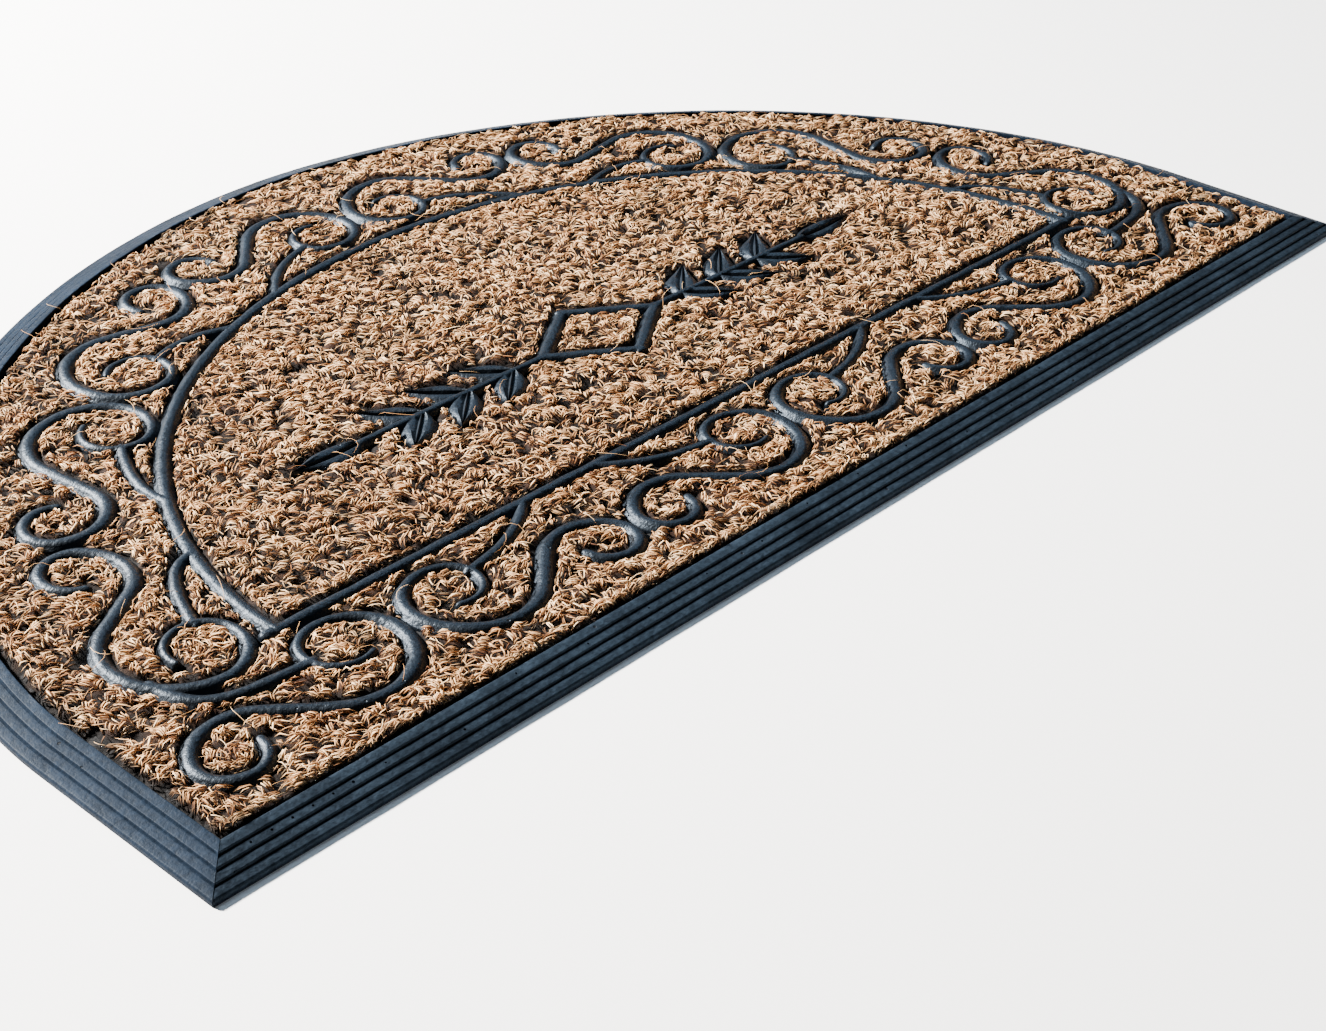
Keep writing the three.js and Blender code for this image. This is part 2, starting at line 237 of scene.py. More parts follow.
def trace_chain(start, rows):
    """Points along a chain of tangent arcs and straight runs, with the stroke's width at each."""
    points, widths = [np.array([start["x"], start["y"]])], [start["width"]]
    heading = math.radians(start["heading"])
    for row in rows:
        begin, before = points[-1], widths[-1]
        run = row.get("run")
        radius = row.get("radius", 0.0)
        turn = 0.0 if run else math.copysign(math.radians(row["turn"]), radius)
        steps = max(2, math.ceil((run or abs(radius * turn)) / CHAIN_STEP))
        centre = begin + radius * unit(heading + math.pi / 2)
        for i in range(1, steps + 1):
            now = heading + turn * i / steps
            points.append(begin + unit(heading) * run * i / steps if run else centre + radius * unit(now - math.pi / 2))
            widths.append(before + (row["width"] - before) * i / steps)
        heading += turn
    return np.array(points), np.array(widths)


SCROLL_POINTS, SCROLL_WIDTHS = trace_chain(SCROLL_START, SCROLL_ARCS)
LARGE_TOUCH = np.array([(SCROLL_POINTS[:, 0] - SCROLL_WIDTHS / 2).min(), BAND_LARGE_Y])
SMALL_TOUCH = np.array([(SCROLL_POINTS[:, 0] + SCROLL_WIDTHS / 2).max(), BAND_SMALL_Y])


def turned(points, angle):
    c, s = math.cos(angle), math.sin(angle)
    return points @ np.array([[c, s], [-s, c]])


def cubic(a, b, c, d, steps):
    t = np.linspace(0, 1, steps + 1)[:, None]
    return (1 - t) ** 3 * a + 3 * (1 - t) ** 2 * t * b + 3 * (1 - t) * t**2 * c + t**3 * d


def scroll_with_branch(large, small, land, frame_side, branch=None):
    """A scroll whose large and small ends touch two given points, and its branch to where it lands."""
    shape = BRANCH_SHAPE | (branch or {})
    flip = np.array([1.0, frame_side])
    own = (SMALL_TOUCH - LARGE_TOUCH) * flip
    wanted = np.subtract(small, large)
    scale = np.linalg.norm(wanted) / np.linalg.norm(own)
    angle = math.atan2(wanted[1], wanted[0]) - math.atan2(own[1], own[0])

    def place(points):
        return turned((np.atleast_2d(points) - LARGE_TOUCH) * scale * flip, angle) + large

    def direction(degrees):
        return turned(unit(math.radians(degrees)) * flip, angle)

    root = place([BRANCH_ROOT["x"], shape["root_y"]])[0]
    out = root + direction(BRANCH_ROOT["heading"]) * shape["lead"]
    back = np.array(land) - direction(shape["land_heading"]) * shape["land_lead"]
    line = cubic(root, out, back, np.array(land, float), BRANCH_STEPS)
    return [(place(SCROLL_POINTS), SCROLL_WIDTHS, STROKE_SECTION),
            (line, np.full(len(line), shape["width"]), STROKE_SECTION)]


def mirrored(paths):
    return [(points * [-1, 1], widths, section) for points, widths, section in paths]


def straight(a, b, width):
    steps = max(2, math.ceil(math.dist(a, b) / STRAIGHT_STEP))
    t = np.linspace(0, 1, steps + 1)[:, None]
    return np.array(a) * (1 - t) + np.array(b) * t, np.full(steps + 1, float(width)), STROKE_SECTION


def frame_paths():
    angle = np.linspace(0, math.pi, FRAME_POINTS)
    arch = np.stack([FRAME_HALF_WIDTH * np.cos(angle), FRAME_Y + FRAME_HEIGHT * np.sin(angle)], 1)
    reach = FRAME_HALF_WIDTH + FRAME_STROKE / 2
    return [(arch, np.full(len(arch), FRAME_STROKE), STROKE_SECTION),
            straight((-reach, FRAME_Y), (reach, FRAME_Y), FRAME_STROKE)]


def scroll_paths():
    def band_point(place):
        return np.array([-place * BAND_PITCH, FRAME_Y + (BAND_SMALL_Y if place % 2 else BAND_LARGE_Y)])

    left = []
    for row in BAND_SCROLLS:
        large = band_point(row["large"])
        side = 1 if row["small"] > row["large"] else -1
        left += scroll_with_branch(large, band_point(row["small"]), (large[0] - side * BRANCH_REACH, FRAME_Y), -side)
    for row in EDGE_SCROLLS:
        left += scroll_with_branch(**row)
    return left + mirrored(left)


def leaf(x, y, degrees, length):
    along = np.linspace(0, 1, LEAF_POINTS)
    points = np.array([x, y]) + np.outer(length * along, unit(math.radians(degrees)))
    widths = STEM_WIDTH * LEAF_FOOT * (1 - along) + LEAF_WIDTH * np.sin(math.pi * along**LEAF_SWELL) + LEAF_TIP
    return points, widths, LEAF_SECTION


def ornament_paths():
    tips = [(LOZENGE_HALF_WIDTH, ORNAMENT_Y), (0, ORNAMENT_Y + LOZENGE_HALF_HEIGHT)]
    tips += [(-LOZENGE_HALF_WIDTH, ORNAMENT_Y), (0, ORNAMENT_Y - LOZENGE_HALF_HEIGHT)]
    lozenge = [straight(tips[i], tips[(i + 1) % 4], LOZENGE_STROKE) for i in range(4)]
    sprig = [straight((LOZENGE_HALF_WIDTH, ORNAMENT_Y), (STEM_END, ORNAMENT_Y), STEM_WIDTH)]
    for place in LEAF_PLACES:
        sprig += [leaf(place, ORNAMENT_Y, side * LEAF_ANGLE, LEAF_LENGTH) for side in (1, -1)]
    sprig.append(leaf(STEM_END, ORNAMENT_Y, 0, END_LEAF_LENGTH))
    return lozenge + sprig + mirrored(sprig)


def right_outline(inset):
    """The right half of the outline from the corner to the crown, drawn in by an inset."""
    side = np.linspace(inset, SIDE_HEIGHT, SIDE_POINTS)[:-1]
    angle = np.linspace(0, math.pi / 2, ARCH_POINTS)
    x = np.cos(angle).clip(0) ** (2 / ARCH_EXPONENT)
    y = np.sin(angle).clip(0) ** (2 / ARCH_EXPONENT)
    a, b = WIDTH / 2, DEPTH - SIDE_HEIGHT
    normal = np.stack([x ** (ARCH_EXPONENT - 1) / a, y ** (ARCH_EXPONENT - 1) / b], 1)
    normal /= np.linalg.norm(normal, axis=1, keepdims=True)
    arch = np.stack([a * x, SIDE_HEIGHT + b * y], 1) - inset * normal
    up = np.stack([np.full(len(side), a - inset), side], 1)
    return np.concatenate([up, arch])


def half_round(inset):
    right = right_outline(inset)
    return np.concatenate([right, right[-2::-1] * [-1, 1]])


# Meshes

def shade_smooth(mesh):
    mesh.polygons.foreach_set("use_smooth", np.full(len(mesh.polygons), True))


def mesh_object(name, points, triangles, material, attributes=None):
    """An object from points in millimetres, y from the straight edge, and triangles."""
    placed = (np.asarray(points, float) - [0, DEPTH / 2, 0]) * MM
    mesh = bpy.data.meshes.new(name)
    mesh.vertices.add(len(placed))
    mesh.vertices.foreach_set("co", placed.astype(np.float32).ravel())
    mesh.loops.add(triangles.size)
    mesh.loops.foreach_set("vertex_index", triangles.astype(np.int32).ravel())
    mesh.polygons.add(len(triangles))
    mesh.polygons.foreach_set("loop_start", np.arange(0, triangles.size, 3, dtype=np.int32))
    mesh.update(calc_edges=True)
    mesh.validate()
    shade_smooth(mesh)
    for key, values in (attributes or {}).items():
        kind = "FLOAT_VECTOR" if np.ndim(values) == 2 else "FLOAT"
        layer = mesh.attributes.new(key, kind, "POINT")
        layer.data.foreach_set("vector" if kind == "FLOAT_VECTOR" else "value", np.asarray(values, np.float32).ravel())
    mesh.materials.append(material)
    made = bpy.data.objects.new(name, mesh)
    bpy.context.scene.collection.objects.link(made)
    return made


def loft(sections):
    """Points and outward triangles of a closed bar through equal closed sections (n, k, 3), fan caps at its ends."""
    n, k = sections.shape[:2]
    i, j = np.meshgrid(np.arange(n - 1), np.arange(k), indexing="ij")
    a, b = i * k + j, i * k + (j + 1) % k
    sides = np.stack([a, b, b + k, a, b + k, a + k], -1).reshape(-1, 3)
    first, last = n * k, n * k + 1
    j = np.arange(k)
    start = np.stack([(j + 1) % k, j, np.full(k, first)], 1)
    end = np.stack([(n - 1) * k + j, (n - 1) * k + (j + 1) % k, np.full(k, last)], 1)
    points = np.concatenate([sections.reshape(-1, 3), sections[[0, -1]].mean(1)])
    triangles = np.concatenate([sides, start, end])
    p = points[triangles]
    if np.einsum("ij,ij->i", p[:, 0], np.cross(p[:, 1], p[:, 2])).sum() < 0:
        triangles = triangles[:, ::-1]
    return points, triangles


def stroke_mesh(points, widths, section):
    """A stroke along its path with rounded ends and slightly uneven in width and height."""
    tangent = np.gradient(points, axis=0)
    tangent /= np.linalg.norm(tangent, axis=1, keepdims=True)
    count = len(END_CAPS)
    reach = np.sqrt(1 - END_CAPS**2) * CAP_REACH
    before = points[0] - np.outer(reach[::-1] * widths[0], tangent[0])
    after = points[-1] + np.outer(reach * widths[-1], tangent[-1])
    shrink = np.concatenate([END_CAPS[::-1], np.ones(len(points)), END_CAPS])
    points = np.concatenate([before, points, after])
    tangent = np.concatenate([np.tile(tangent[0], (count, 1)), tangent, np.tile(tangent[-1], (count, 1))])
    widths = np.concatenate([np.full(count, widths[0]), widths, np.full(count, widths[-1])])
    normal = np.stack([-tangent[:, 1], tangent[:, 0]], 1)
    length = np.concatenate([[0], np.cumsum(np.linalg.norm(np.diff(points, axis=0), axis=1))])
    wobble = 1.0
    for (share, wave), phase in zip(WOBBLES, points[0]):
        wobble = wobble + share * np.sin(length / wave + phase)
    half = widths / 2 * shrink * wobble
    across = half[:, None] * section[None, :, 0]
    lift = (STROKE_TOP - STROKE_BOTTOM) * (0.55 + 0.45 * shrink) * (1 + 0.5 * (wobble - 1))
    flat = points[:, None, :] + across[..., None] * normal[:, None, :]
    height = STROKE_BOTTOM + lift[:, None] * section[None, :, 1]
    return loft(np.concatenate([flat, height[..., None]], 2))


def relief(name, paths, material, node):
    """One united rubber relief from strokes that cross and merge."""
    parts = [mesh_object(f"{name}_{i}", *stroke_mesh(*path), material) for i, path in enumerate(paths)]
    body, others = parts[0], bpy.data.collections.new(f"{name}_others")
    for o in parts[1:]:
        bpy.context.scene.collection.objects.unlink(o)
        others.objects.link(o)
    bpy.context.scene.collection.children.link(others)
    union = body.modifiers.new("union", "BOOLEAN")
    union.operation = "UNION"
    union.operand_type = "COLLECTION"
    union.collection = others
    union.solver = "MANIFOLD"
    mesh = bpy.data.meshes.new_from_object(body.evaluated_get(bpy.context.evaluated_depsgraph_get()))
    body.modifiers.clear()
    body.data = mesh
    body.name = name
    for o in parts[1:]:
        bpy.data.objects.remove(o)
    bpy.data.collections.remove(others)
    shade_smooth(mesh)
    mesh.set_sharp_from_angle(angle=math.radians(SMOOTH_ANGLE["relief"]))
    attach(body, "root")
    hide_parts(node)


# Rasters over the mat: distance to the strokes, distance in from the outline, height of the coir

GRID_X = np.arange(-WIDTH / 2 - RASTER_MARGIN, WIDTH / 2 + RASTER_MARGIN, RASTER)
GRID_Y = np.arange(-RASTER_MARGIN, DEPTH + RASTER_MARGIN, RASTER)


def stamp(target, points, offsets, reach):
    """Lowers a raster to the least distance from any point, less that point's offset."""
    r = int(reach / RASTER)
    for (x, y), offset in zip(points, offsets):
        i, j = int((y - GRID_Y[0]) / RASTER), int((x - GRID_X[0]) / RASTER)
        i0, i1, j0, j1 = max(i - r, 0), i + r + 2, max(j - r, 0), j + r + 2
        gap = np.hypot(GRID_Y[i0:i1, None] - y, GRID_X[None, j0:j1] - x) - offset
        np.minimum(target[i0:i1, j0:j1], gap, out=target[i0:i1, j0:j1])


def sample(raster, xy):
    u = ((xy[..., 0] - GRID_X[0]) / RASTER).clip(0, len(GRID_X) - 1.001)
    v = ((xy[..., 1] - GRID_Y[0]) / RASTER).clip(0, len(GRID_Y) - 1.001)
    j, i = u.astype(int), v.astype(int)
    s, t = u - j, v - i
    low = raster[i, j] * (1 - s) + raster[i, j + 1] * s
    high = raster[i + 1, j] * (1 - s) + raster[i + 1, j + 1] * s
    return low * (1 - t) + high * t


def noise_raster_sum(*layers):
    """Layers of smooth noise: each a cell size, a seed and a share."""
    return sum(noise_raster(cell, seed) * share for cell, seed, share in layers)


def stroke_raster(paths):
    """Distance to the nearest stroke's side, negative inside it, up to the stroke reach."""
    raster = np.full((len(GRID_Y), len(GRID_X)), STROKE_REACH)
    for points, widths, _ in paths:
        stamp(raster, points, widths / 2, STROKE_REACH + FRAME_STROKE / 2)
    return raster


def recess_at(y):
    """The gap between coir and border is narrow along the straight edge and wide along the curve."""
    return np.interp(y, [WALL + RECESS_TURN[0], WALL + RECESS_TURN[1]], [FRONT_RECESS, ARCH_RECESS])


def inset_raster():
    """How far in from the outline a point lies, up to the inset reach, negative outside."""
    right = right_outline(0.0)
    raster = np.full((len(GRID_Y), len(GRID_X)), INSET_REACH)
    both = np.concatenate([right, right * [-1, 1]])
    stamp(raster, both, np.zeros(len(both)), INSET_REACH)
    np.minimum(raster, np.abs(GRID_Y)[:, None], out=raster)
    x, y = np.abs(GRID_X)[None, :], GRID_Y[:, None]
    rise = ((y - SIDE_HEIGHT).clip(0) / (DEPTH - SIDE_HEIGHT)) ** ARCH_EXPONENT
    inside = ((x / (WIDTH / 2)) ** ARCH_EXPONENT + rise < 1) & (y > 0)
    return np.where(inside, raster, -raster)


def noise_raster(cell, seed):
    """Smooth random values from 0 to 1 with a given cell size."""
    own = np.random.default_rng(seed)
    rows, columns = int(len(GRID_Y) * RASTER / cell) + 3, int(len(GRID_X) * RASTER / cell) + 3
    values = own.random((rows, columns))
    u, v = np.arange(len(GRID_X)) * RASTER / cell, np.arange(len(GRID_Y)) * RASTER / cell
    j, i = u.astype(int), v.astype(int)
    s, t = u - j, (v - i)[:, None]
    s, t = s * s * (3 - 2 * s), t * t * (3 - 2 * t)
    low = values[i][:, j] * (1 - s) + values[i][:, j + 1] * s
    high = values[i + 1][:, j] * (1 - s) + values[i + 1][:, j + 1] * s
    return low * (1 - t) + high * t


PATCHES = noise_raster_sum((9.0, 3, 0.6), (3.0, 4, 0.4))
ROUGH = noise_raster_sum((4.5, 5, 0.5), (2.2, 6, 0.5))
HUMMOCKS = noise_raster_sum((13.0, 12, 0.6), (7.0, 13, 0.4))


# Materials

def node_material(name, roughness=0.6, specular=0.5):
    material = bpy.data.materials.new(name)
    material.use_nodes = True
    nodes = material.node_tree.nodes
    shader = nodes["Principled BSDF"]
    shader.inputs["Roughness"].default_value = roughness
    shader.inputs["Specular IOR Level"].default_value = specular
    return material, nodes, material.node_tree.links, shader


def add(nodes, kind, inputs=None, **settings):
    """A new node: each of its inputs gets a value or the output of another node."""
    node = nodes.new(kind)
    for key, value in settings.items():
        setattr(node, key, value)
    for key, value in (inputs or {}).items():
        if isinstance(value, bpy.types.NodeSocket):
            node.id_data.links.new(value, node.inputs[key])
        else:
            node.inputs[key].default_value = value
    return node


def attribute(nodes, key, output="Fac"):
    return add(nodes, "ShaderNodeAttribute", attribute_name=key).outputs[output]


def calculate(nodes, operation, a, b, clamp=False):
    return add(nodes, "ShaderNodeMath", {0: a, 1: b}, operation=operation, use_clamp=clamp).outputs[0]


def noise(nodes, vector, **values):
    return add(nodes, "ShaderNodeTexNoise", {"Vector": vector} | values).outputs["Fac"]


def ramp(nodes, factor, stops):
    node = add(nodes, "ShaderNodeValToRGB", {"Fac": factor})
    elements = node.color_ramp.elements
    while len(elements) < len(stops):
        elements.new(0.5)
    for element, (place, colour) in zip(elements, stops):
        element.position = place
        element.color = (*colour, 1.0)
    return node.outputs["Color"]


def mixed(nodes, factor, a, b):
    return add(nodes, "ShaderNodeMix", {"Factor": factor, "A": a, "B": b}, data_type="RGBA").outputs["Result"]


def bumps(nodes, *layers):
    """The normal that layers of relief give one over the other: each a height, a strength and a distance."""
    normal = None
    for height, strength, distance in layers:
        inputs = {"Height": height, "Strength": strength, "Distance": distance}
        if normal:
            inputs["Normal"] = normal
        normal = add(nodes, "ShaderNodeBump", inputs).outputs["Normal"]
    return normal


def coir_material(name, streaks):
    """Coconut fibre: colour runs from dark pits, which are painted shade, to straw crowns; the pile's body has streaks
    along each tuft.
    """
    material, nodes, links, shader = node_material(name, roughness=0.8, specular=0.12)
    look = BODY_GRAIN if streaks else FIBRE_GRAIN
    place = add(nodes, "ShaderNodeTexCoord").outputs["Object"]
    patch = noise(nodes, place, Scale=16.0, Detail=3.0)
    if streaks:
        flow = {0: attribute(nodes, "flow", "Vector"), 1: look["squeeze"]}
        along = add(nodes, "ShaderNodeVectorMath", flow, operation="MULTIPLY").outputs[0]
        grain = noise(nodes, along, Scale=1.0, Detail=3.0, Roughness=0.65, Distortion=0.4)
    else:
        grain = noise(nodes, place, Scale=900.0, Detail=2.0)
    waver = calculate(nodes, "MULTIPLY", patch, 0.3)
    mottle = calculate(nodes, "MULTIPLY", grain, look["mottle"])
    centred = calculate(nodes, "SUBTRACT", calculate(nodes, "ADD", waver, mottle), look["centre"])
    total = calculate(nodes, "ADD", attribute(nodes, "tone"), centred, clamp=True)
    # Low places mix toward near black by lift: painted shade in the pits
    deep = mixed(nodes, attribute(nodes, "lift"), PAINTED_PIT_SHADE, ramp(nodes, total, COIR_TONES))
    # Blackened by rubber dust and by painted shade in the edge recess and the stroke channels
    links.new(mixed(nodes, attribute(nodes, "dust_and_shade"), deep, RUBBER_DUST_AND_SHADE), shader.inputs["Base Color"])
    links.new(bumps(nodes, (grain, look["strength"], look["distance"])), shader.inputs["Normal"])
    return material


def rubber_material(name, dark, pale, roughness, specular, relief, pits):
    """Moulded rubber: blue-black with dusty rub marks, fine grain and small pits, their colour darkened as painted
    shade.
    """
    material, nodes, links, shader = node_material(name, roughness=roughness[0], specular=specular)
    shader.inputs["Specular Tint"].default_value = RUBBER_GLOSS
    place = add(nodes, "ShaderNodeTexCoord").outputs["Object"]
    cloud, scuff, grain = (noise(nodes, place, Scale=scale, Detail=detail, Roughness=0.6)
                           for scale, detail in ((38.0, 4.0), (420.0, 3.0), (1500.0, 2.0)))
    colour = ramp(nodes, calculate(nodes, "MULTIPLY", cloud, scuff), [(0.12, dark), (0.42, pale)])
    spots = add(nodes, "ShaderNodeTexVoronoi", {"Vector": place, "Scale": pits["scale"], "Randomness": 1.0})
    hole = add(nodes, "ShaderNodeMapRange", {
        "Value": spots.outputs["Distance"], "From Min": pits["size"] * 0.7, "From Max": pits["size"],
    }).outputs["Result"]
    # Pits darkened: painted shade in the holes
    links.new(mixed(nodes, hole, RUBBER_PIT_SHADE, colour), shader.inputs["Base Color"])
    shine = add(nodes, "ShaderNodeMapRange", {"Value": scuff, "To Min": roughness[0], "To Max": roughness[1]})
    links.new(shine.outputs["Result"], shader.inputs["Roughness"])
    layers = (scuff, 0.6, relief), (grain, 0.35, 0.0002), (hole, 1.0, 0.0008)
    links.new(bumps(nodes, *layers), shader.inputs["Normal"])
    return material


COIR = coir_material("coir", streaks=False)
COIR_BODY = coir_material("coir_body", streaks=True)
RELIEF_RUBBER = rubber_material(
    "relief_rubber", dark=(0.0011, 0.0016, 0.0025), pale=(0.0036, 0.0054, 0.0085), roughness=(0.34, 0.54),
    specular=0.2, relief=0.0009, pits={"scale": 110.0, "size": 0.08})
# The same border rubber in two copies: the arch copy darker and less glossy as painted shade, the front copy lighter
# and glossier as painted light, to even out how the key falls on the two strips
ARCH_RUBBER_PAINTED_SHADE = rubber_material(
    "arch_rubber_painted_shade", dark=(0.0025, 0.0044, 0.0078), pale=(0.0078, 0.0135, 0.024), roughness=(0.42, 0.62),
    specular=0.035, relief=0.0004, pits={"scale": 75.0, "size": 0.06})
FRONT_RUBBER_PAINTED_LIGHT = rubber_material(
    "front_rubber_painted_light", dark=(0.004, 0.006, 0.009), pale=(0.017, 0.026, 0.038), roughness=(0.42, 0.62),
    specular=0.08, relief=0.0005, pits={"scale": 75.0, "size": 0.06})
BACKING_RUBBER = rubber_material(
    "backing_rubber", dark=(0.004, 0.004, 0.005), pale=(0.012, 0.013, 0.015), roughness=(0.7, 0.85),
    specular=0.1, relief=0.0006, pits={"scale": 120.0, "size": 0.09})


# Border

def border_profile(groove):
    """Inset and height from the foot over rounded treads to the inner wall, with a groove at each riser's foot."""
    rows = [(0.0, 0.0), (0.0, LIP_HEIGHT - LIP_BEVEL - 0.3), (0.12, LIP_HEIGHT - LIP_BEVEL + 0.1),
            (LIP_BEVEL - 0.3, LIP_HEIGHT - 0.22), (LIP_BEVEL + 0.1, LIP_HEIGHT + 0.02)]
    for k in range(1, TREADS):
        inset, foot = LIP_BEVEL + k * TREAD_WIDTH, LIP_HEIGHT + k * TREAD_CLIMB + (k - 1) * RISER
        riser, low = inset - RISER_LEAN, foot - groove["deep"]
        rows += [(inset - TREAD_WIDTH / 2, foot - TREAD_CLIMB / 2 + 0.03),
                 (riser - groove["wide"] - GROOVE_LIP, foot - 0.24), (riser - groove["wide"], low), (riser, low)]
        rows += [(inset + across, foot + RISER + up) for across, up in NOSING]
    rows += [(BORDER_WIDTH - TREAD_WIDTH / 2, LEDGE - TREAD_CLIMB / 2), (BORDER_WIDTH - 0.5, LEDGE - 0.08),
             (BORDER_WIDTH - 0.1, LEDGE - 0.3), (BORDER_WIDTH, LEDGE - 0.7), (BORDER_WIDTH, 0.0)]
    return rows


def wavy(length, seed, size):
    own = np.random.default_rng(seed)
    total = np.zeros(len(length))
    for wave in SAG_WAVES:
        phase = length / wave * 2 * math.pi
        total += own.uniform(0.5, 1) * np.sin(phase + own.uniform(0, ANY_TURN)) * (wave / SAG_WAVES[-1]) ** 0.5
    return total * size


def pin(x, y, radius):
    """A short plug that stands in a tread."""
    turn = np.arange(PIN_SIDES) * 2 * math.pi / PIN_SIDES
    ring = np.stack([x + radius * np.cos(turn), y + radius * np.sin(turn)], 1)
    tread = (y - LIP_BEVEL) // TREAD_WIDTH
    surface = LIP_HEIGHT + tread * RISER + (y - LIP_BEVEL) / TREAD_WIDTH * TREAD_CLIMB
    ends = (surface - PIN_DEPTH, surface + PIN_RISE)
    return loft(np.stack([np.column_stack([ring, np.full(PIN_SIDES, end)]) for end in ends]))


def drill(strip, pins):
    """Cuts pin marks, small holes left by the mould, into a strip."""
    plugs = [pin(*row) for row in pins]
    counts = np.cumsum([0] + [len(points) for points, _ in plugs])
    points = np.concatenate([points for points, _ in plugs])
    triangles = np.concatenate([faces + start for (_, faces), start in zip(plugs, counts)])
    cutter = mesh_object("pins", points, triangles, strip.data.materials[0])
    cut = strip.modifiers.new("pins", "BOOLEAN")
    cut.operation = "DIFFERENCE"
    cut.object = cutter
    cut.solver = "MANIFOLD"
    strip.data = bpy.data.meshes.new_from_object(strip.evaluated_get(bpy.context.evaluated_depsgraph_get()))
    strip.modifiers.clear()
    bpy.data.objects.remove(cutter)


def border_bar(name, profile, rail_at, node, seed, material, pins=()):
    """A strip whose rail at each inset runs along the edge, with a slight unevenness along it."""
    rails = np.array([rail_at(inset) for inset, _ in profile])
    length = np.concatenate([[0], np.cumsum(np.linalg.norm(np.diff(rails[0], axis=0), axis=1))])
    sections = np.zeros((rails.shape[1], rails.shape[0], 3))
    sections[..., :2] = rails.transpose(1, 0, 2)
    for j, (_, height) in enumerate(profile):
        sag = wavy(length, seed + j // PROFILE_POINTS_PER_TREAD, SAG) if height > 0 else 0
        sections[:, j, 2] = height + sag
    made = mesh_object(name, *loft(sections), material)
    if pins:
        drill(made, pins)
    made.data.set_sharp_from_angle(angle=math.radians(SMOOTH_ANGLE["border"]))
    made.modifiers.new("normals", "WEIGHTED_NORMAL").keep_sharp = True
    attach(made, "root")
    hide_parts(node)


def front_rail(inset):
    shares = np.linspace(-1, 1, FRONT_POINTS)
    return np.stack([shares * (WIDTH / 2 - inset - SEAM), np.full(FRONT_POINTS, inset)], 1)


def arch_rail(inset):
    rail = right_outline(inset)
    rail[0, 1] += SEAM
    rail[-1, 0] = SEAM
    return rail


def pin_line(tread):
    return LIP_BEVEL + (tread + PIN_SHARE) * TREAD_WIDTH


pins = [(PIN_ROW["start"] + PIN_ROW["pitch"] * k, pin_line(PIN_ROW["tread"]), rng.uniform(0.5, 0.65))
        for k in range(PIN_ROW["count"])]
pins += [(x, pin_line(rng.integers(1, TREADS)), rng.uniform(0.4, 0.6))
         for x in range(PIN_SPREAD["start"], PIN_SPREAD["end"], PIN_SPREAD["pitch"])]
# The front strip takes the lighter copy of the rubber as painted light, the arch strips the darker copy as painted
# shade
border_bar("front_strip", border_profile(FRONT_GROOVE), front_rail, "border_front", 1, FRONT_RUBBER_PAINTED_LIGHT, pins)
for side, word in ((-1, "left"), (1, "right")):
    border_bar(f"arch_strip_{word}", border_profile(ARCH_GROOVE), lambda inset: arch_rail(inset) * [side, 1],
               f"border_arch_{word}", 20 + side, ARCH_RUBBER_PAINTED_SHADE)


# Relief
frame_strokes = frame_paths() + scroll_paths()
ornament_strokes = ornament_paths()
relief("scrollwork", frame_strokes, RELIEF_RUBBER, "scroll_frame")
relief("sprigs", ornament_strokes, RELIEF_RUBBER, "centre_ornament")
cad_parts["rubber_backing"].data.materials.clear()
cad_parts["rubber_backing"].data.materials.append(BACKING_RUBBER)


# Coir
strokes = stroke_raster(frame_strokes + ornament_strokes)
inset_at = inset_raster()
rim_at = inset_at - WALL - (recess_at(GRID_Y) * -RIM_EASE + RIM_KEEP)[:, None]


def beside(points, reach):
    """Spots every edge pitch along a line, reach to each side of it (one value a point), and the direction there."""
    length = np.concatenate([[0], np.cumsum(np.linalg.norm(np.diff(points, axis=0), axis=1))])
    along = np.arange(0, length[-1], EDGE_PITCH)
    at = np.stack([np.interp(along, length, points[:, k]) for k in (0, 1)], 1)
    way = np.stack([np.interp(along, length, np.gradient(points[:, k])) for k in (0, 1)], 1)
    way /= np.linalg.norm(way, axis=1, keepdims=True)
    aside = np.stack([-way[:, 1], way[:, 0]], 1) * np.interp(along, length, reach)[:, None]
    heading = np.arctan2(way[:, 1], way[:, 0])
    return np.concatenate([at + aside, at - aside]), np.concatenate([heading, heading])


